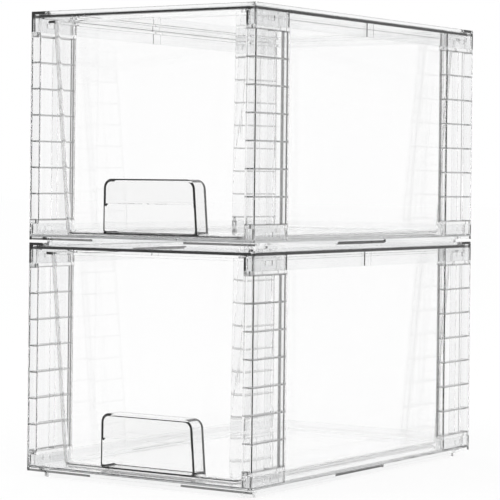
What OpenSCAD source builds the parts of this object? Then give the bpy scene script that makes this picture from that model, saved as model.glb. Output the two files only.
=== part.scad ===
// Stackable drawer box: two clear units, one standing in the tray on top of the other.
// Each unit is a frame that snaps together, with one drawer that slides out of its front.
// The front faces -Y. The origin is the middle of the footprint, on the surface that it stands on.
// Unit modules are drawn with z = 0 at the bottom edge of their base panel.

/* [Unit] */
// Width of a unit across its front
unit_width = 238; // [200:1:300]
// Depth of a unit from front to back
unit_depth = 376; // [320:1:450]
// Height of a unit from the bottom edge of its base to its top rim
unit_height = 200; // [160:1:260]
// Wall of the edge strips, the foot ring and the tray step
shell_wall = 2; // [1.4:0.1:2.6]
// Radius of the upright outer corners of panels and posts
corner_round = 1.5; // [0.6:0.1:2.5]
// Play between pieces of one frame that plug or slot together
fit_gap = 0.2; // [0.15:0.05:0.3]

/* [Base panel] */
// Thickness of the floor plate that the drawer slides on
floor_plate = 2.4; // [2:0.1:3.2]
// Height of the strip around the floor plate, up to the top of the plate
edge_strip = 5; // [4:0.1:7]
// Height of the side and rear rims, and of the sockets, above the bottom edge
base_rim_height = 14; // [11:0.1:18]
// Length of the low slot in each side of the edge strip
slot_length = 82; // [50:1:110]
// Distance of that slot from the front of the unit
slot_start = 131; // [110:1:150]
// Height of that slot
slot_height = 2.4; // [1:0.1:2.8]

/* [Rims and skirts] */
// Thickness of the rims of the base and of the skirts of the top
rim_wall = 2; // [1.4:0.1:2.4]
// How far rims and skirts stand back from the outer faces
rim_inset = 1; // [0.5:0.1:1.4]
// Drop of the side skirts and of the sockets below the top surface
side_skirt_drop = 18; // [15:0.1:24]
// Drop of the rear skirt below the top surface
rear_skirt_drop = 11; // [8:0.1:13]
// Width of the raised tab in the middle of each side skirt
tab_width = 10.5; // [6:0.1:16]
// Distance of the middle of that tab from the front of the unit
tab_place = 182.5; // [160:0.5:210]

/* [Stacking] */
// How far the foot ring reaches below the bottom edge
foot_drop = 5.2; // [4:0.1:8]
// How far the foot ring stands back from the outer faces
foot_inset = 8; // [7.5:0.1:12]
// Radius of the corners of the foot ring
foot_round = 12; // [6:0.5:20]
// Depth of the tray in the top panel
tray_depth = 3; // [2:0.1:3.6]
// Thickness of the top plate, which is the floor of the tray
top_plate = 2.4; // [2:0.1:3.2]
// Play around a foot ring in the tray below it
tray_play = 0.5; // [0.3:0.1:0.8]
// Height at which a foot ring rests above the floor of the tray
stack_seat = 0.3; // [0.2:0.05:0.5]

/* [Posts] */
// Width of a post along the side of the unit
post_width = 52; // [44:0.5:64]
// Thickness of a post from its outer face inward
post_thickness = 10.6; // [9.6:0.1:14]
// Wall of the outer face and the flanges of a post
post_wall = 2; // [1.2:0.1:2.6]
// Reach of the flange at the inner end of a post, from its outer face
inner_flange = 9; // [6:0.1:9.4]
// Distance of the upright web from the corner of the unit
web_place = 28; // [22:0.5:34]
// Thickness of the upright web and the rungs
web_wall = 1.2; // [0.8:0.1:2]
// Reach of the upright web and the rungs, from the outer face
web_reach = 8; // [5:0.1:9]
// Number of fields between the rungs of a post
fields = 7; // [4:1:10]
// Height of the solid collar at each end of a post
collar_height = 3.3; // [2:0.1:5]

/* [Sockets] */
// Wall of a socket around its tenon
socket_wall = 1.8; // [1.2:0.1:2.2]
// Wall of the hollow tenon
tenon_wall = 1.4; // [1:0.1:1.8]
// Width of the snap window in a socket
snap_width = 10; // [6:0.1:14]
// Height of the snap window
snap_height = 4; // [2:0.1:5]
// Distance of the middle of the snap window from the corner of the unit
snap_place = 23; // [18:0.5:28]
// How far the face of the catch stays behind the outer face
catch_recess = 0.4; // [0.2:0.1:0.8]

/* [Side and rear panels] */
// Thickness of the clear panels
panel_wall = 1.5; // [1:0.1:1.8]
// Play of a panel in its groove
panel_play = 0.3; // [0.2:0.05:0.35]
// Depth of the groove in the floor plate
groove_depth = 1.2; // [0.6:0.1:1.6]

/* [Drawer] */
// Running gap between the drawer and the floor plate, and between its rim and the posts
run_gap = 0.3; // [0.2:0.05:0.6]
// Extra play at each side of the rim
rim_play = 0.3; // [0.1:0.05:0.6]
// Free height between the rim of the drawer and the top panel
head_gap = 2.5; // [1:0.1:5]
// How far the rim stands back from the front of the unit
rim_set_back = 5.3; // [3:0.1:12]
// How far the rim stays in front of the back of the unit
rim_rear_gap = 6; // [5.6:0.1:12]
// Thickness of the rim
rim_thickness = 2.3; // [1.6:0.1:3.5]
// Overhang of the rim at the sides
side_overhang = 4.8; // [2:0.1:7]
// Overhang of the rim at the front and the back
end_overhang = 2.1; // [1:0.1:5]
// How much further in the walls stand at their foot than under the rim
draft = 9; // [4:0.1:14]
// Wall of the drawer
drawer_wall = 2; // [1.4:0.1:3]
// Floor of the drawer
drawer_floor = 2.2; // [1.6:0.1:3.2]
// Radius of the upright corners of the drawer
drawer_round = 8; // [6:0.5:14]
// Radius along the foot of the walls
foot_fillet = 4.5; // [3.5:0.1:5.5]

/* [Finger pull] */
// Width of the pull's pocket at its top
pull_width = 96; // [70:1:120]
// How much wider the pocket is at its foot
pull_flare = 4; // [0:0.5:8]
// Height of the pocket above the floor of the drawer
pull_height = 46.7; // [40:0.1:60]
// Depth of the pocket behind the face of the drawer's front
pull_depth = 19.3; // [15:0.1:26]
// Wall of the pocket
pull_wall = 2.4; // [1.6:0.1:3.4]
// Radius of its upper corners
pull_round = 8; // [6:0.5:12]
// Radius of the lower corners inside it
pull_foot_round = 3.5; // [2:0.1:5]
// Rounding of the edges of its rear
pull_edge = 2; // [1:0.1:2.5]
// Height of the closed lip that the fingers pull on, below the top of the pocket
lip_height = 22; // [14:0.5:26]
// Radius of the upper corners of the opening below the lip
lip_round = 4; // [2:0.1:6]

/* [Hidden] */
$fn = 48;
hull_fn = 32;
cut = 1;
slice = 0.01;
half_width = unit_width / 2;
half_depth = unit_depth / 2;
plate_underside = edge_strip - floor_plate;
top_edge = tray_depth + top_plate;
tray_inset = foot_inset - tray_play;
pitch = unit_height + foot_drop - tray_depth + stack_seat;
rim_inner = rim_inset + rim_wall;
// Posts between the sockets
collar_foot = base_rim_height + fit_gap;
collar_head = unit_height - side_skirt_drop - fit_gap;
shaft_foot = collar_foot + collar_height;
shaft_head = collar_head - collar_height;
field_pitch = (shaft_head - shaft_foot) / fields;
tenon_inset = socket_wall + fit_gap;
tenon_foot = edge_strip + fit_gap;
tenon_head = unit_height - top_edge - fit_gap;
base_snap_z = (edge_strip + base_rim_height) / 2;
top_snap_z = unit_height - (top_edge + side_skirt_drop) / 2;
// Clear panels in their grooves
panel_inset = rim_inner + panel_play;
panel_foot = edge_strip - groove_depth + fit_gap;
panel_head = unit_height - top_plate - panel_play;
// Drawer
drawer_foot = edge_strip + run_gap;
rim_top = unit_height - top_edge - head_gap;
rim_foot = rim_top - rim_thickness;
rim_side = post_thickness + run_gap + rim_play;
rim_width = unit_width - 2 * rim_side;
rim_depth = unit_depth - rim_set_back - rim_rear_gap;
drawer_middle = (rim_set_back - rim_rear_gap) / 2;
wall_width = rim_width - 2 * side_overhang;
wall_depth = rim_depth - 2 * end_overhang;
wall_slope = draft / (rim_foot - drawer_foot);
wall_front = -half_depth + rim_set_back + end_overhang;
floor_top = drawer_foot + drawer_floor;
pull_top = floor_top + pull_height;
lip_foot = pull_top - lip_height;
clear_plastic = [0.90, 0.93, 0.95, 0.45];
drawer_plastic = [0.84, 0.89, 0.93, 0.55];

// Rectangle with round corners, centred on the origin
module outline(width, depth, radius) {
    square([width - 2 * radius, depth], center = true);
    square([width, depth - 2 * radius], center = true);
    for (x = [-1, 1], y = [-1, 1])
        translate([x * (width / 2 - radius), y * (depth / 2 - radius)])
            circle(radius);
}

// Upright slab over the footprint, set back by inset
module slab(inset, foot, head, radius) {
    translate([0, 0, foot])
        linear_extrude(head - foot)
            outline(unit_width - 2 * inset, unit_depth - 2 * inset, radius);
}

// Ring between two insets
module ring(outer, inner, foot, head, radius) {
    difference() {
        slab(outer, foot, head, radius);
        slab(inner, foot - cut, head + cut, max(radius - (inner - outer), 0.1));
    }
}

// Block at the front right post, set back by inset from its outline
module at_post(inset, foot, head, radius) {
    translate([half_width - post_thickness / 2, -half_depth + post_width / 2, foot])
        linear_extrude(head - foot)
            outline(post_thickness - 2 * inset, post_width - 2 * inset, radius);
}

// Copies of the front right corner at all four corners
module four_corners() {
    for (x = [0, 1], y = [0, 1])
        mirror([x, 0, 0])
            mirror([0, y, 0])
                children();
}

module both_sides() {
    children();
    mirror([1, 0, 0])
        children();
}

// Block behind the outer face of the right side, between two distances from the front
module side_block(inset, wall, start, end, foot, head) {
    translate([half_width - inset - wall, -half_depth + start, foot])
        cube([wall, end - start, head - foot]);
}

// Block in front of the rear face, across the unit
module rear_block(inset, wall, side_inset, foot, head) {
    translate([-half_width + side_inset, half_depth - inset - wall, foot])
        cube([unit_width - 2 * side_inset, wall, head - foot]);
}

// Space for a tenon, with the snap window through the outer wall
module socket_space(foot, head, snap_z) {
    at_post(socket_wall, foot, head, corner_round / 2);
    translate([half_width - socket_wall - cut, -half_depth + snap_place - snap_width / 2, snap_z - snap_height / 2])
        cube([socket_wall + 2 * cut, snap_width, snap_height]);
}

// Groove for one side panel in the floor plate
module panel_grooves() {
    both_sides()
        side_block(rim_inner, panel_wall + 2 * panel_play, post_width, unit_depth - post_width,
            edge_strip - groove_depth, edge_strip + cut);
    rear_block(rim_inner, panel_wall + 2 * panel_play, post_thickness, edge_strip - groove_depth, edge_strip + cut);
}

module base_panel() {
    color(clear_plastic)
        difference() {
            union() {
                slab(0, 0, edge_strip, corner_round);
                both_sides()
                    side_block(rim_inset, rim_wall, socket_wall, unit_depth - rim_inset,
                        plate_underside, base_rim_height);
                rear_block(rim_inset, rim_wall, rim_inset, plate_underside, base_rim_height);
                ring(foot_inset, foot_inset + shell_wall, -foot_drop, plate_underside, foot_round);
                four_corners()
                    at_post(0, 0, base_rim_height, corner_round);
            }
            // Hollow below the plate, inside the edge strip and on both sides of the foot ring
            ring(shell_wall, foot_inset, -cut, plate_underside, corner_round);
            slab(foot_inset + shell_wall, -foot_drop - cut, plate_underside, foot_round - shell_wall);
            four_corners()
                socket_space(edge_strip, base_rim_height + cut, base_snap_z);
            panel_grooves();
            both_sides()
                side_block(-cut, shell_wall + 2 * cut, slot_start, slot_start + slot_length, -cut, slot_height);
        }
}

module top_panel() {
    under_rim = unit_height - top_edge;
    color(clear_plastic)
        difference() {
            union() {
                slab(0, under_rim, unit_height, corner_round);
                both_sides() {
                    side_block(rim_inset, rim_wall, socket_wall, unit_depth - rim_inset,
                        unit_height - side_skirt_drop, unit_height - top_plate);
                    side_block(0, rim_inner, tab_place - tab_width / 2, tab_place + tab_width / 2,
                        unit_height - side_skirt_drop, unit_height - top_plate);
                }
                rear_block(rim_inset, rim_wall, rim_inset, unit_height - rear_skirt_drop, unit_height - top_plate);
                four_corners()
                    at_post(0, unit_height - side_skirt_drop, unit_height, corner_round);
            }
            slab(tray_inset, unit_height - tray_depth, unit_height + cut, foot_round + tray_play);
            ring(rim_inner, tray_inset - shell_wall, under_rim - cut, unit_height - top_plate, corner_round);
            four_corners()
                socket_space(unit_height - side_skirt_drop - cut, under_rim, top_snap_z);
        }
}

// Hollow tenon with its catch, between two heights
module tenon(foot, head, open_foot, open_head, snap_z) {
    catch_reach = tenon_inset - catch_recess;
    difference() {
        at_post(tenon_inset, foot, head, corner_round / 2);
        at_post(tenon_inset + tenon_wall, open_foot, open_head, corner_round / 3);
    }
    translate([half_width - tenon_inset - tenon_wall,
            -half_depth + snap_place - snap_width / 2 + fit_gap, snap_z - snap_height / 2 + fit_gap])
        cube([tenon_wall + catch_reach, snap_width - 2 * fit_gap, snap_height - 2 * fit_gap]);
}

// Front right post; the others are its mirror images
module post() {
    color(clear_plastic) {
        at_post(0, collar_foot, shaft_foot, corner_round);
        at_post(0, shaft_head, collar_head, corner_round);
        tenon(tenon_foot, collar_foot, tenon_foot - cut, collar_foot, base_snap_z);
        tenon(collar_head, tenon_head, collar_head, tenon_head + cut, top_snap_z);
        // Channel with its open side inward
        difference() {
            at_post(0, shaft_foot, shaft_head, corner_round);
            side_block(post_wall, post_thickness, post_wall, post_width - post_wall,
                shaft_foot - cut, shaft_head + cut);
            side_block(inner_flange, post_thickness, post_width - post_wall - cut, post_width + cut,
                shaft_foot, shaft_head);
        }
        side_block(post_wall / 2, web_reach - post_wall / 2, web_place, web_place + web_wall, shaft_foot, shaft_head);
        for (rung = [1 : fields - 1]) {
            rung_z = shaft_foot + rung * field_pitch;
            side_block(post_wall / 2, web_reach - post_wall / 2, post_wall / 2, post_width - post_wall / 2,
                rung_z - web_wall / 2, rung_z + web_wall / 2);
        }
    }
}

module front_right() children();
module front_left() mirror([1, 0, 0]) children();
module rear_right() mirror([0, 1, 0]) children();
module rear_left() rotate(180) children();

// Right side panel; the left one is its mirror image
module side_panel() {
    color(clear_plastic)
        side_block(panel_inset, panel_wall, post_width + panel_play, unit_depth - post_width - panel_play,
            panel_foot, panel_head);
}

module rear_panel() {
    color(clear_plastic)
        rear_block(panel_inset, panel_wall, post_thickness + panel_play, panel_foot, panel_head);
}

// Quarter-round disc, for the lower corners of the drawer
module corner_disc(radius, fillet) {
    rotate_extrude($fn = hull_fn) {
        square([radius - fillet, fillet]);
        translate([radius - fillet, fillet])
            intersection() {
                circle(fillet);
                translate([0, -fillet])
                    square(fillet);
            }
    }
}

// Drafted tub with round corners; inset shrinks it all round
module tub(inset, foot, head) {
    radius = drawer_round - inset;
    fillet = foot_fillet - inset;
    hull()
        for (x = [-1, 1], y = [-1, 1]) {
            head_x = wall_width / 2 - drawer_round;
            head_y = wall_depth / 2 - drawer_round;
            translate([x * (head_x - draft), drawer_middle + y * (head_y - draft), foot])
                corner_disc(radius, fillet);
            translate([x * head_x, drawer_middle + y * head_y, head - slice])
                cylinder(r = radius, h = slice, $fn = hull_fn);
        }
}

// Face of the drawer's front, and half the width of the pull's pocket, at a height
function wall_y(z) = wall_front + (rim_foot - z) * wall_slope;
function pull_half(z) = (pull_width + pull_flare * (pull_top - z) / pull_height) / 2;

// Block of the finger pull between two depths behind the face of the drawer's front
module pull_block(inset, start, end, foot, head, foot_radius, head_radius, edge) {
    hull()
        for (x = [-1, 1], top = [0, 1]) {
            radius = top == 1 ? head_radius : foot_radius;
            z = top == 1 ? head - radius : foot + radius;
            translate([x * (pull_half(z) - inset - radius), wall_y(z) + end, z])
                rotate([90, 0, 0]) {
                    cylinder(r = radius - edge, h = edge, $fn = hull_fn);
                    translate([0, 0, edge])
                        cylinder(r = radius, h = end - start - edge, $fn = hull_fn);
                }
        }
}

// Tub with its rim, and the pocket of the finger pull behind its front
module drawer() {
    color(drawer_plastic)
        difference() {
            union() {
                difference() {
                    union() {
                        tub(0, drawer_foot, rim_foot);
                        translate([0, drawer_middle, rim_foot])
                            linear_extrude(rim_thickness)
                                outline(rim_width, rim_depth, drawer_round + end_overhang);
                    }
                    tub(drawer_wall, floor_top, rim_top + cut);
                }
                intersection() {
                    pull_block(0, drawer_wall / 2, pull_depth, floor_top - 2 * pull_edge, pull_top,
                        2 * pull_edge, pull_round, pull_edge);
                    tub(0, drawer_foot, rim_foot);
                }
            }
            // Finger space up behind the lip, and the opening below the lip
            pull_block(pull_wall, drawer_wall, pull_depth - pull_wall, floor_top, pull_top - pull_wall,
                pull_foot_round, pull_round - pull_wall, pull_wall / 4);
            pull_block(pull_wall, -cut, drawer_wall + cut, floor_top, lip_foot,
                pull_foot_round, lip_round, pull_wall / 4);
        }
}

module lower_unit() translate([0, 0, foot_drop]) children();
module upper_unit() translate([0, 0, foot_drop + pitch]) children();

lower_unit() base_panel();  // lower_base_panel
lower_unit() top_panel();  // lower_top_panel
lower_unit() front_left() post();  // lower_post_front_left
lower_unit() front_right() post();  // lower_post_front_right
lower_unit() rear_left() post();  // lower_post_rear_left
lower_unit() rear_right() post();  // lower_post_rear_right
lower_unit() front_left() side_panel();  // lower_side_panel_left
lower_unit() front_right() side_panel();  // lower_side_panel_right
lower_unit() rear_panel();  // lower_rear_panel
lower_unit() drawer();  // lower_drawer
upper_unit() base_panel();  // upper_base_panel
upper_unit() top_panel();  // upper_top_panel
upper_unit() front_left() post();  // upper_post_front_left
upper_unit() front_right() post();  // upper_post_front_right
upper_unit() rear_left() post();  // upper_post_rear_left
upper_unit() rear_right() post();  // upper_post_rear_right
upper_unit() front_left() side_panel();  // upper_side_panel_left
upper_unit() front_right() side_panel();  // upper_side_panel_right
upper_unit() rear_panel();  // upper_rear_panel
upper_unit() drawer();  // upper_drawer
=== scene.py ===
import math

import bmesh
import bpy
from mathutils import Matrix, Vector


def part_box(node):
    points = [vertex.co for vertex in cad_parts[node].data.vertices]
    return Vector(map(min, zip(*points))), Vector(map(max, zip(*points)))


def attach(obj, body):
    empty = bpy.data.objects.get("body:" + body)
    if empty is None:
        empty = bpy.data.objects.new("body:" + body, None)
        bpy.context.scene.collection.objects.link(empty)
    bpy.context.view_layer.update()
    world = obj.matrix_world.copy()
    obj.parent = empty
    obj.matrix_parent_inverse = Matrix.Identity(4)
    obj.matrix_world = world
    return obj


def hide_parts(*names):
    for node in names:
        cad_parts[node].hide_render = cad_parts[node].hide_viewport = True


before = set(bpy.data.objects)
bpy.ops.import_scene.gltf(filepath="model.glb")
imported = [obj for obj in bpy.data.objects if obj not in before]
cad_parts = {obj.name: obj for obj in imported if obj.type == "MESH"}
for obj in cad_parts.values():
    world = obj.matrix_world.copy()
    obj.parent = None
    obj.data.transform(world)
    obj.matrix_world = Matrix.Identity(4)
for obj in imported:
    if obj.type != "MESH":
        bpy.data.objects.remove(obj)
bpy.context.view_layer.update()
scene = bpy.context.scene
mm = 0.001

# how faces and edges are told apart when they are picked
picking = {
    "same": 0.02 * mm,              # two heights this close are one
    "clear": 0.1 * mm,              # this far past a face is outside it
    "leaning": 0.2 * mm,            # room for an edge in a leaning face
    "upright": 10 * mm,             # an edge that rises more than this is a corner edge
    "across": 2 * mm,               # an edge that is deeper than this runs from front to back
    "facing": 0.9,                  # least part of a normal along the way that it faces
}


def nothingSelected():
    if bpy.context.mode != "OBJECT":
        bpy.ops.object.mode_set(mode="OBJECT")
    bpy.ops.object.select_all(action="DESELECT")


def onlySelected(piece):
    nothingSelected()
    piece.select_set(True)
    bpy.context.view_layer.objects.active = piece


def editing(piece):
    # edit mode with nothing selected
    onlySelected(piece)
    bpy.ops.object.mode_set(mode="EDIT")
    bpy.ops.mesh.select_all(action="DESELECT")


def pickFaces(piece, wanted):
    # selects the faces whose normal passes the test
    bpy.ops.mesh.select_mode(type="FACE")
    bpy.ops.mesh.select_all(action="DESELECT")
    mesh = bmesh.from_edit_mesh(piece.data)
    for face in mesh.faces:
        if wanted(face.normal):
            face.select_set(True)
    bmesh.update_edit_mesh(piece.data)


def pickEdges(piece, wanted):
    # selects the edges whose two ends pass the test
    bpy.ops.mesh.select_mode(type="EDGE")
    bpy.ops.mesh.select_all(action="DESELECT")
    mesh = bmesh.from_edit_mesh(piece.data)
    for edge in mesh.edges:
        if wanted(edge.verts[0].co, edge.verts[1].co):
            edge.select_set(True)
    bmesh.update_edit_mesh(piece.data)


def dropFlatEdges(piece, flattest):
    # of the picked edges, leaves out those whose two faces turn too little
    mesh = bmesh.from_edit_mesh(piece.data)
    for edge in mesh.edges:
        if edge.select and len(edge.link_faces) == 2:
            if edge.link_faces[0].normal.dot(edge.link_faces[1].normal) > flattest:
                edge.select_set(False)
    bmesh.update_edit_mesh(piece.data)


def near(a, b, room=picking["same"]):
    return abs(a - b) < room


def facesUp(normal):
    return normal.z > picking["facing"]


def facesFront(normal):
    return normal.y < -picking["facing"]


def upright(a, b):
    return abs(a.z - b.z) > picking["upright"]


def levelAt(height):
    return lambda a, b: near(a.z, height) and near(b.z, height)


def frontToBack(height):
    level = levelAt(height)
    return lambda a, b: level(a, b) and abs(a.y - b.y) > picking["across"]


def startBlock(name, low, high):
    # a block between two corners, with its place in its mesh
    nothingSelected()
    bpy.ops.mesh.primitive_cube_add(size=1, location=(Vector(low) + Vector(high)) / 2)
    block = bpy.context.active_object
    block.name = block.data.name = name
    block.scale = Vector(high) - Vector(low)
    bpy.ops.object.transform_apply(location=True, rotation=True, scale=True)
    return block


def roundPicked(radius, steps):
    # a profile of 0.5 is round
    bpy.ops.mesh.bevel(offset=radius, offset_type="OFFSET", segments=steps, profile=0.5, clamp_overlap=False)


def roundEdges(piece, wanted, radius, steps):
    pickEdges(piece, wanted)
    roundPicked(radius, steps)


def extrudePicked(rise):
    # draws new faces out of the picked ones; with no rise, the resize that follows moves them
    bpy.ops.mesh.extrude_region_move(TRANSFORM_OT_translate={"value": (0, 0, rise)})


def cutOrJoin(piece, other, how):
    # takes the other block away from the piece, or joins it on, and deletes it
    change = piece.modifiers.new(how.lower(), "BOOLEAN")
    change.operation = how
    change.solver = "EXACT"
    change.object = other
    onlySelected(piece)
    bpy.ops.object.modifier_apply(modifier=change.name)
    bpy.data.objects.remove(other)


def ownCopy(piece, name, rise):
    # a copy with its own mesh, moved up
    onlySelected(piece)
    bpy.ops.object.duplicate(linked=False)
    copy = bpy.context.active_object
    copy.name = copy.data.name = name
    copy.location.z = rise
    bpy.ops.object.transform_apply(location=True, rotation=True, scale=True)
    return copy


# a mix node's own sockets for two colours and for what comes out
firstColor, secondColor, mixedColor = 6, 7, 2


def addNode(tree, kind, inputs=None, **settings):
    # a node with its settings; an input takes a value, or a link from another node's output
    node = tree.nodes.new(kind)
    for name, value in settings.items():
        setattr(node, name, value)
    for name, value in (inputs or {}).items():
        if isinstance(value, bpy.types.NodeSocket):
            tree.links.new(value, node.inputs[name])
        else:
            node.inputs[name].default_value = value
    return node


def worked(tree, operation, *sides, kind="ShaderNodeMath"):
    # what a math node makes of its sides, which are values or outputs
    return addNode(tree, kind, dict(enumerate(sides)), operation=operation).outputs[0]


def spread(tree, value, ends):
    # 0 at the first end of the range and 1 at the second
    node = addNode(tree, "ShaderNodeMapRange", {"Value": value, "From Min": ends[0], "From Max": ends[1]})
    return node.outputs["Result"]


def newGroup(name, takes, gives):
    # a node group, with the kind of each named socket
    group = bpy.data.node_groups.new(name, "ShaderNodeTree")
    for way, sockets in (("INPUT", takes), ("OUTPUT", gives)):
        for socket, kind in sockets.items():
            group.interface.new_socket(socket, in_out=way, socket_type="NodeSocket" + kind)
    return group


def newMaterial(name):
    material = bpy.data.materials.new(name)
    material.use_nodes = True
    material.node_tree.nodes.clear()
    return material, material.node_tree


def mixedSurface(tree, share, plain, other):
    # the material's output, with a share of the other shader over the plain one
    mixed = addNode(tree, "ShaderNodeMixShader", {"Fac": share, 1: plain, 2: other})
    return addNode(tree, "ShaderNodeOutputMaterial", {"Surface": mixed.outputs["Shader"]})


handledLook = {
    "waves": {"Detail": 1.0, "Roughness": 0.4},
    "waveHeight": 0.2 * mm,
    "rubbing": {"Scale": 420.0, "Detail": 4.0, "Roughness": 0.7},
    "rubbed": (0.58, 0.80),         # from no marks to full marks
    "dust": {"Scale": 260.0},
    "speck": (0.07, 0.02),          # from the rim of a speck to its middle
    "flow": {"Scale": 1.0, "Detail": 3.0, "Roughness": 0.6},
    "streak": (0.35, 0.68),
}


def handledPlastic():
    # moulding waves, light handling marks and dust for all clear pieces
    group = newGroup(
        "handledPlastic",
        {"Tint": "Color", "Streak Tint": "Color", "Streak Run": "Vector",
         "Wave Size": "Float", "Wave Depth": "Float", "Polish": "Float", "Wear": "Float"},
        {"Color": "Color", "Roughness": "Float", "Normal": "Vector"})
    look = handledLook
    given = group.nodes.new("NodeGroupInput").outputs
    place = group.nodes.new("ShaderNodeTexCoord").outputs["Object"]

    waves = addNode(
        group, "ShaderNodeTexNoise", {"Vector": place, "Scale": given["Wave Size"], **look["waves"]})
    bump = addNode(group, "ShaderNodeBump", {
        "Strength": given["Wave Depth"], "Distance": look["waveHeight"], "Height": waves.outputs["Fac"]})

    # fine rubbed marks and a few dust specks roughen the polish
    marks = addNode(group, "ShaderNodeTexNoise", {"Vector": place, **look["rubbing"]})
    specks = addNode(group, "ShaderNodeTexVoronoi", {"Vector": place, **look["dust"]})
    rubbed = spread(group, marks.outputs["Fac"], look["rubbed"])
    dusty = spread(group, specks.outputs["Distance"], look["speck"])
    either = worked(group, "MAXIMUM", rubbed, dusty)
    roughness = worked(group, "MULTIPLY_ADD", either, given["Wear"], given["Polish"])

    # flow streaks from moulding, drawn out along the piece
    drawn = addNode(group, "ShaderNodeMapping", {"Vector": place, "Scale": given["Streak Run"]})
    flow = addNode(group, "ShaderNodeTexNoise", {"Vector": drawn.outputs["Vector"], **look["flow"]})
    streak = spread(group, flow.outputs["Fac"], look["streak"])
    tinted = addNode(group, "ShaderNodeMix", {
        "Factor": streak, firstColor: given["Tint"], secondColor: given["Streak Tint"]}, data_type="RGBA")
    addNode(group, "NodeGroupOutput", {
        "Color": tinted.outputs[mixedColor], "Roughness": roughness, "Normal": bump.outputs["Normal"]})
    return group


# heights in a unit, counted from its bottom edge
unitHeights = {
    "base": 5.2 * mm,               # bottom edge of the lower unit, above the surface it stands on
    "pitch": 202.5 * mm,            # from one unit to the next
    "shaftFoot": 17.5 * mm,         # where the first field of a post begins
    "rungSpacing": 23 * mm,
    "rungHalf": 0.7 * mm,
}


def unitPlace():
    # where a point lies in its own unit, the same for left and right, and how far it is from a rung;
    # below a unit's bottom edge the heights are those at the top of the unit under it
    group = newGroup("unitPlace", {}, {"Place": "Vector", "From Rung": "Float"})
    place = group.nodes.new("ShaderNodeTexCoord").outputs["Object"]
    split = addNode(group, "ShaderNodeSeparateXYZ", {"Vector": place}).outputs
    side = worked(group, "ABSOLUTE", split["X"])
    lifted = worked(group, "SUBTRACT", split["Z"], unitHeights["base"])
    height = worked(group, "FLOORED_MODULO", lifted, unitHeights["pitch"])
    joined = addNode(group, "ShaderNodeCombineXYZ", {"X": side, "Y": split["Y"], "Z": height})
    onShaft = worked(group, "SUBTRACT", height, unitHeights["shaftFoot"])
    fromRung = worked(group, "PINGPONG", onShaft, unitHeights["rungSpacing"] / 2)
    addNode(group, "NodeGroupOutput", {"Place": joined.outputs["Vector"], "From Rung": fromRung})
    return group


def insideBox():
    # 1 inside a box and 0 outside it
    group = newGroup(
        "insideBox", {"Place": "Vector", "Middle": "Vector", "Half Size": "Vector"}, {"Mask": "Float"})
    given = group.nodes.new("NodeGroupInput").outputs
    away = worked(group, "SUBTRACT", given["Place"], given["Middle"], kind="ShaderNodeVectorMath")
    size = worked(group, "ABSOLUTE", away, kind="ShaderNodeVectorMath")
    past = worked(group, "SUBTRACT", size, given["Half Size"], kind="ShaderNodeVectorMath")
    split = addNode(group, "ShaderNodeSeparateXYZ", {"Vector": past}).outputs
    furthest = worked(group, "MAXIMUM", worked(group, "MAXIMUM", split["X"], split["Y"]), split["Z"])
    addNode(group, "NodeGroupOutput", {"Mask": worked(group, "LESS_THAN", furthest, 0)})
    return group


handling = handledPlastic()
placing = unitPlace()
boxing = insideBox()


def paintedShade(tree, color, mask, tint):
    # painted shade: the colour times the tint where the mask is 1
    shade = addNode(
        tree, "ShaderNodeMix", {"Factor": mask, firstColor: color, secondColor: (tint, tint, tint, 1)},
        data_type="RGBA", blend_type="MULTIPLY")
    return shade.outputs[mixedColor]


def clearPlastic(name, look):
    material, tree = newMaterial(name)
    surface = addNode(tree, "ShaderNodeGroup", {
        "Tint": (*look["tint"], 1), "Streak Tint": (*look["streakTint"], 1), "Streak Run": look["streakRun"],
        "Wave Size": look["waveSize"], "Wave Depth": look["waveDepth"],
        "Polish": look["polish"], "Wear": look["wear"]}, node_tree=handling).outputs
    color = surface["Color"]
    # painted shade: the colour is made darker on the rungs and in boxes along narrow edges, standing in for
    # the dark lines that refraction and inner reflection give them
    if "edges" in look:
        spot = addNode(tree, "ShaderNodeGroup", node_tree=placing).outputs
        if "rungShadeTint" in look:
            rungShadeMask = worked(tree, "LESS_THAN", spot["From Rung"], unitHeights["rungHalf"])
            color = paintedShade(tree, color, rungShadeMask, look["rungShadeTint"])
        # painted shade in each box along a narrow edge
        for middle, half, tint in look["edges"]:
            within = addNode(tree, "ShaderNodeGroup", {
                "Place": spot["Place"], "Middle": Vector(middle) * mm, "Half Size": Vector(half) * mm},
                node_tree=boxing)
            color = paintedShade(tree, color, within.outputs["Mask"], tint)
    plastic = addNode(tree, "ShaderNodeBsdfPrincipled", {
        "Base Color": color, "Roughness": surface["Roughness"], "Normal": surface["Normal"],
        "IOR": look["ior"], "Transmission Weight": 1.0})
    # from inside, light that the surface throws back loses strength, so thick edges turn dark
    passed = addNode(tree, "ShaderNodeBsdfRefraction", {
        "Color": color, "Roughness": look["polish"], "Normal": surface["Normal"], "IOR": look["ior"]})
    inside = tree.nodes.new("ShaderNodeNewGeometry").outputs["Backfacing"]
    share = worked(tree, "MULTIPLY", inside, look["edgeDark"])
    out = mixedSurface(tree, share, plastic.outputs["BSDF"], passed.outputs["BSDF"])
    if "density" in look:
        depth = addNode(tree, "ShaderNodeVolumeAbsorption", {
            "Density": look["density"], "Color": (*look["depthTint"], 1)})
        tree.links.new(depth.outputs["Volume"], out.inputs["Volume"])
    return material


# what all the clear plastic has in common
clearStock = {
    "ior": 1.49,
    "polish": 0.0,                      # roughness where nothing has rubbed
    "depthTint": (0.10, 0.12, 0.13),    # used where a look has a density
}
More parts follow.
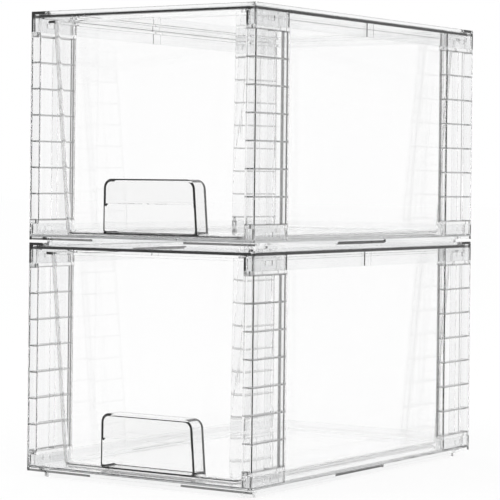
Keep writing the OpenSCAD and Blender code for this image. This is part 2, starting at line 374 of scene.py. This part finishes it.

# each line of painted shade along an edge is a box, with its middle and half size in millimetres and its
# tint; its place is as unitPlace gives it
topLook = {
    **clearStock,
    "tint": (0.975, 0.976, 0.977), "streakTint": (0.93, 0.932, 0.934), "streakRun": (12, 12, 90),
    "waveSize": 24.0, "waveDepth": 0.05, "wear": 0.04, "edgeDark": 0.3, "density": 6.0,
    "edges": (
        ((118.6, 0, 195.5), (1.2, 190, 1.2), 0.1),      # painted shade along the lower edge of the rim, at the sides
        ((60, -187.6, 195.5), (61, 1.2, 1.2), 0.1),     # and at the front
    ),
}
baseLook = {
    **clearStock,
    "tint": (0.985, 0.986, 0.987), "streakTint": (0.95, 0.952, 0.954), "streakRun": (12, 12, 90),
    "waveSize": 24.0, "waveDepth": 0.05, "wear": 0.04, "edgeDark": 0.03, "density": 2.0,
    "edges": (
        ((110.2, -4, 0.6), (1.4, 41, 0.6), 0.1),        # painted shade on the foot ring behind the slot in each side
        ((110.2, -4, 201.8), (1.4, 41, 0.7), 0.1),      # and just below the bottom edge
        ((84, -187.6, 0.4), (36, 1.2, 1.5), 0.05),      # painted shade at the ends of the lower edge of the front
    ),
}
postLook = {
    **clearStock,
    "tint": (0.985, 0.986, 0.987), "streakTint": (0.915, 0.917, 0.919), "streakRun": (130, 130, 3),
    "waveSize": 24.0, "waveDepth": 0.05, "wear": 0.04, "edgeDark": 0.03, "density": 3.0,
    # painted shade on the rungs
    "rungShadeTint": 0.48,
    "edges": (
        ((111.3, -137, 98), (1.0, 1.5, 82), 0.15),      # painted shade beside the free edge of the inner flange, front
        ((111.3, 137, 98), (1.0, 1.5, 82), 0.15),       # and rear
    ),
}
panelLook = {
    **clearStock,
    "tint": (0.999, 0.999, 0.999), "streakTint": (0.997, 0.997, 0.997), "streakRun": (9, 9, 5),
    "waveSize": 9.0, "waveDepth": 0.02, "wear": 0.02, "edgeDark": 0.3, "density": 2.0,
}
# the drawer has two materials on one solid, the pull's with painted shade, and goes without density, which
# would leak from one to the other
drawerLook = {
    **clearStock,
    "tint": (0.998, 0.998, 0.998), "streakTint": (0.995, 0.995, 0.995), "streakRun": (10, 10, 4),
    "waveSize": 14.0, "waveDepth": 0.05, "wear": 0.03, "edgeDark": 0.25,
}
pullLook = {
    **drawerLook,
    # painted shade: the pull's tint is darker than the drawer's, for the grey that its layers of plastic
    # show
    "tint": (0.972, 0.972, 0.972), "streakTint": (0.962, 0.962, 0.962), "edgeDark": 0.95,
}
topPlastic = clearPlastic("topPlastic", topLook)
basePlastic = clearPlastic("basePlastic", baseLook)
postPlastic = clearPlastic("postPlastic", postLook)
panelPlastic = clearPlastic("panelPlastic", panelLook)
drawerPlastic = clearPlastic("drawerPlastic", drawerLook)
pullPlastic = clearPlastic("pullPlastic", pullLook)
print("materials made")


mouldedEdge = {"merge": 0.01 * mm, "radius": 0.4 * mm, "steps": 2, "sharpAngle": 35}


def softenEdges(node):
    joined = node.modifiers.new("joined", "WELD")
    joined.merge_threshold = mouldedEdge["merge"]
    edge = node.modifiers.new("mouldedEdge", "BEVEL")
    edge.width = mouldedEdge["radius"]
    edge.segments = mouldedEdge["steps"]
    edge.limit_method = "ANGLE"
    edge.angle_limit = math.radians(mouldedEdge["sharpAngle"])
    edge.harden_normals = True


for name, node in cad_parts.items():
    if name.endswith("drawer"):
        continue
    plastic = panelPlastic
    if "post" in name:
        plastic = postPlastic
    elif "top_panel" in name:
        plastic = topPlastic
    elif "base_panel" in name:
        plastic = basePlastic
    node.data.materials.clear()
    node.data.materials.append(plastic)
    softenEdges(node)
print("frames dressed")


tubShape = {
    "depth": 364.7 * mm,            # rim, front to back
    "rimThick": 2.3 * mm,
    "sideOverhang": 4.8 * mm,
    "endOverhang": 2.1 * mm,
    "draft": 9 * mm,                # each side leans in by this much, from the rim to the foot
    "wall": 2 * mm,
    "floor": 2.2 * mm,
    "cornerRound": 8 * mm, "cornerSteps": 10,
    "footRound": 4.5 * mm, "footSteps": 6, "insideSteps": 5,
    "rimEdge": 0.5 * mm, "rimSteps": 3,
    "flatEdge": 0.7,                # an edge whose two normals have a larger product stays as it is
    "shortest": 0.001 * mm,         # an edge shorter than this is left out
}
pullShape = {
    "width": 96 * mm,
    "flare": 4 * mm,                # wider at its foot
    "height": 46.7 * mm,            # above the drawer's floor
    "depth": 19.3 * mm,             # behind the face of the front
    "wall": 2.4 * mm,
    "topRound": 8 * mm, "topSteps": 10, "insideSteps": 8,
    "footRound": 3.5 * mm, "footSteps": 6,
    "rearEdge": 2 * mm, "rearSteps": 5,
    "innerEdge": 0.6 * mm, "innerSteps": 3,
    "lip": 22 * mm,                 # closed part of the front, below the pocket's top
    "lipRound": 4 * mm, "lipSteps": 6,
    "flareOut": 1.4 * mm,           # how much wider the opening is at its front
    "cutPast": 1 * mm,              # the block that cuts the opening reaches this far past both faces
}
drawerFinish = {"merge": 0.004 * mm, "smoothAngle": 32, "flatWeight": 100}


def makeTub(name, low, high):
    shape = tubShape
    rimHalf = Vector((high.x, shape["depth"] / 2))
    middle = Vector((0, high.y - rimHalf.y))
    rimFoot = high.z - shape["rimThick"]
    wallHalf = rimHalf - Vector((shape["sideOverhang"], shape["endOverhang"]))
    footHalf = wallHalf - Vector((shape["draft"], shape["draft"]))
    openHalf = wallHalf - Vector((shape["wall"], shape["wall"]))
    floorHalf = footHalf - Vector((shape["wall"], shape["wall"]))
    floorTop = low.z + shape["floor"]

    def sizeTo(new, old, height):
        bpy.ops.transform.resize(
            value=(new.x / old.x, new.y / old.y, 1), center_override=(middle.x, middle.y, height))

    tub = startBlock(
        name,
        (middle.x - footHalf.x, middle.y - footHalf.y, low.z),
        (middle.x + footHalf.x, middle.y + footHalf.y, rimFoot))
    editing(tub)
    pickFaces(tub, facesUp)
    sizeTo(wallHalf, footHalf, rimFoot)
    roundEdges(tub, upright, shape["cornerRound"], shape["cornerSteps"])
    roundEdges(tub, levelAt(low.z), shape["footRound"], shape["footSteps"])
    # the rim out, up and in again, then the inside down to the floor
    pickFaces(tub, facesUp)
    extrudePicked(0)
    sizeTo(rimHalf, wallHalf, rimFoot)
    extrudePicked(shape["rimThick"])
    extrudePicked(0)
    sizeTo(openHalf, rimHalf, high.z)
    extrudePicked(floorTop - high.z)
    sizeTo(floorHalf, openHalf, floorTop)
    roundEdges(tub, levelAt(floorTop), shape["footRound"] - shape["wall"], shape["insideSteps"])

    def pastWall(point):
        fromMiddle = abs(point.y - middle.y)
        return abs(point.x) > wallHalf.x + picking["clear"] or fromMiddle > wallHalf.y + picking["clear"]

    def onRimEdge(a, b):
        # outer rim edges, both heights, and the upper inner one
        if not near(a.z, b.z) or a.z < rimFoot - picking["clear"]:
            return False
        if near(a.x, b.x, shape["shortest"]) and near(a.y, b.y, shape["shortest"]):
            return False
        return near(a.z, high.z) or (pastWall(a) and pastWall(b))

    pickEdges(tub, onRimEdge)
    dropFlatEdges(tub, shape["flatEdge"])
    roundPicked(shape["rimEdge"], shape["rimSteps"])
    bpy.ops.object.mode_set(mode="OBJECT")
    return tub, middle, rimFoot, wallHalf


def makePull(low, middle, rimFoot, wallHalf):
    # the blocks that make the finger pull: its shell, the hollow in it and the opening below its lip
    shape = pullShape
    front = tubShape["wall"]
    slope = tubShape["draft"] / (rimFoot - low.z)
    floorTop = low.z + tubShape["floor"]
    head = floorTop + shape["height"]

    def wallAt(height):
        return middle.y - wallHalf.y + (rimFoot - height) * slope

    def leaningBlock(name, inset, start, end, foot, top):
        # leans as the drawer's front does and narrows upward; depths count from the face of the front
        def halfAt(height):
            return (shape["width"] + shape["flare"] * (head - height) / shape["height"]) / 2 - inset
        block = startBlock(
            name, (-halfAt(foot), wallAt(foot) + start, foot), (halfAt(foot), wallAt(foot) + end, top))
        editing(block)
        pickFaces(block, facesUp)
        bpy.ops.transform.resize(value=(halfAt(top) / halfAt(foot), 1, 1), center_override=(0, 0, top))
        bpy.ops.transform.translate(value=(0, wallAt(top) - wallAt(foot), 0))
        return block

    def atDepth(depth, above):
        def there(point):
            return near(point.y, wallAt(point.z) + depth, picking["leaning"])
        return lambda a, b: there(a) and there(b) and max(a.z, b.z) > above

    # the shell's foot is inside the floor, and stands slightly out of the rounded foot of the front
    shellFoot = low.z + tubShape["floor"] / 2
    shell = leaningBlock("pocket", 0, front / 2, shape["depth"], shellFoot, head)
    roundEdges(shell, frontToBack(head), shape["topRound"], shape["topSteps"])
    rear = atDepth(shape["depth"], shellFoot + picking["clear"])
    roundEdges(shell, rear, shape["rearEdge"], shape["rearSteps"])
    bpy.ops.object.mode_set(mode="OBJECT")

    within = shape["depth"] - shape["wall"]
    ceiling = head - shape["wall"]
    hollow = leaningBlock("hollow", shape["wall"], front, within, floorTop, ceiling)
    roundEdges(hollow, frontToBack(ceiling), shape["topRound"] - shape["wall"], shape["insideSteps"])
    roundEdges(hollow, frontToBack(floorTop), shape["footRound"], shape["footSteps"])
    roundEdges(hollow, atDepth(within, 0), shape["innerEdge"], shape["innerSteps"])
    bpy.ops.object.mode_set(mode="OBJECT")

    lipFoot = head - shape["lip"]
    opening = leaningBlock(
        "opening", shape["wall"], -shape["cutPast"], front + shape["cutPast"], floorTop, lipFoot)
    roundEdges(opening, frontToBack(lipFoot), shape["lipRound"], shape["lipSteps"])
    roundEdges(opening, frontToBack(floorTop), shape["footRound"], shape["footSteps"])
    # flares toward the front, so that the edges of the opening are softened
    pickFaces(opening, facesFront)
    wider = 1 + shape["flareOut"] / (shape["width"] / 2)
    higher = 1 + shape["flareOut"] / (lipFoot - floorTop)
    bpy.ops.transform.resize(value=(wider, 1, higher), center_override=(0, 0, floorTop))
    bpy.ops.object.mode_set(mode="OBJECT")
    return shell, hollow, opening


def giveBothMaterials(piece, used):
    # the drawer's two materials, plain and with painted shade for the pull, with the one that the faces have
    # now
    for material in (drawerPlastic, pullPlastic):
        piece.data.materials.append(material)
    for face in piece.data.polygons:
        face.material_index = used


def makeDrawer(name, pieceName):
    low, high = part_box(name)
    drawer, middle, rimFoot, wallHalf = makeTub(pieceName, low, high)
    giveBothMaterials(drawer, 0)
    shell, hollow, opening = makePull(low, middle, rimFoot, wallHalf)
    for block, how in ((shell, "UNION"), (hollow, "DIFFERENCE"), (opening, "DIFFERENCE")):
        giveBothMaterials(block, 1)
        cutOrJoin(drawer, block, how)
    editing(drawer)
    bpy.ops.mesh.select_all(action="SELECT")
    bpy.ops.mesh.remove_doubles(threshold=drawerFinish["merge"])
    bpy.ops.object.mode_set(mode="OBJECT")
    onlySelected(drawer)
    bpy.ops.object.shade_smooth_by_angle(angle=math.radians(drawerFinish["smoothAngle"]))
    # the large flat faces stay optically flat, and only the fillets turn
    flat = drawer.modifiers.new("flat", "WEIGHTED_NORMAL")
    flat.weight = drawerFinish["flatWeight"]
    flat.keep_sharp = True
    bpy.ops.object.modifier_apply(modifier=flat.name)
    return drawer


def standIn(piece, node, body):
    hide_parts(node)
    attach(piece, body)


lowerDrawer = makeDrawer("lower_drawer", "lowerDrawerTub")
upperDrawer = ownCopy(
    lowerDrawer, "upperDrawerTub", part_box("upper_drawer")[0].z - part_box("lower_drawer")[0].z)
standIn(lowerDrawer, "lower_drawer", "lower_drawer")
standIn(upperDrawer, "upper_drawer", "upper_drawer")
print("drawers modelled")


cameraSetup = {
    "place": (1.0923, -1.6434, 0.2605),
    "turn": (90, -0.596, 33.895),
    "lens": 154.46,
    "sensor": 36,
    "shiftDown": -0.13655,
    "reach": 100,
}
camera = bpy.data.objects.new("camera", bpy.data.cameras.new("camera"))
scene.collection.objects.link(camera)
camera.location = cameraSetup["place"]
camera.rotation_euler = [math.radians(angle) for angle in cameraSetup["turn"]]
camera.data.lens = cameraSetup["lens"]
camera.data.sensor_width = cameraSetup["sensor"]
camera.data.shift_y = cameraSetup["shiftDown"]
camera.data.clip_end = cameraSetup["reach"]
scene.camera = camera


stageSetup = {
    "white": 1.0,                   # strength of the white that the camera sees
    "floorSize": 40,
    "floorColor": 0.9,
    "shadowShare": 0.08,            # how much of the floor's own shading the camera sees
    "lampAim": (0, 0, 0.2),
}
softLamps = (
    # name, place, size, power
    ("keyLamp", (-1.6, -2.2, 2.4), 1.8, 30),
    ("sideLamp", (2.6, -0.4, 1.6), 1.4, 16),
)
# light goes through many clear walls, and runs along inside the long plates
lightSteps = {"all": 96, "clear": 48, "gloss": 64}


def whiteToTheEye(name, color, share):
    # white to the camera, in gloss and through plastic; an ordinary pale surface to all other light
    material, tree = newMaterial(name)
    rays = tree.nodes.new("ShaderNodeLightPath").outputs
    seen = worked(tree, "MAXIMUM", rays["Is Camera Ray"], rays["Is Glossy Ray"])
    either = worked(tree, "MAXIMUM", seen, rays["Is Transmission Ray"])
    pale = addNode(tree, "ShaderNodeBsdfDiffuse", {"Color": (color, color, color, 1)})
    bright = addNode(tree, "ShaderNodeEmission", {"Strength": stageSetup["white"]})
    amount = worked(tree, "MULTIPLY", either, 1 - share)
    mixedSurface(tree, amount, pale.outputs["BSDF"], bright.outputs["Emission"])
    return material


nothingSelected()
bpy.ops.mesh.primitive_plane_add(size=stageSetup["floorSize"], location=(0, 0, 0))
floor = bpy.context.active_object
floor.name = "floor"
floor.data.materials.append(whiteToTheEye("floorPaper", stageSetup["floorColor"], stageSetup["shadowShare"]))

world = bpy.data.worlds.new("studio")
scene.world = world
world.use_nodes = True
world.node_tree.nodes.clear()
sky = addNode(
    world.node_tree, "ShaderNodeBackground", {"Color": (1, 1, 1, 1), "Strength": stageSetup["white"]})
addNode(world.node_tree, "ShaderNodeOutputWorld", {"Surface": sky.outputs["Background"]})

for name, place, size, power in softLamps:
    lamp = bpy.data.lights.new(name, "AREA")
    lamp.shape = "SQUARE"
    lamp.size = size
    lamp.energy = power
    holder = bpy.data.objects.new(name, lamp)
    scene.collection.objects.link(holder)
    holder.location = place
    aim = Vector(stageSetup["lampAim"]) - Vector(place)
    holder.rotation_euler = aim.to_track_quat("-Z", "Y").to_euler()
print("camera, floor and lamps placed")

scene.view_settings.view_transform = "Standard"
scene.cycles.max_bounces = lightSteps["all"]
scene.cycles.transmission_bounces = lightSteps["clear"]
scene.cycles.glossy_bounces = lightSteps["gloss"]
scene.cycles.use_denoising = True
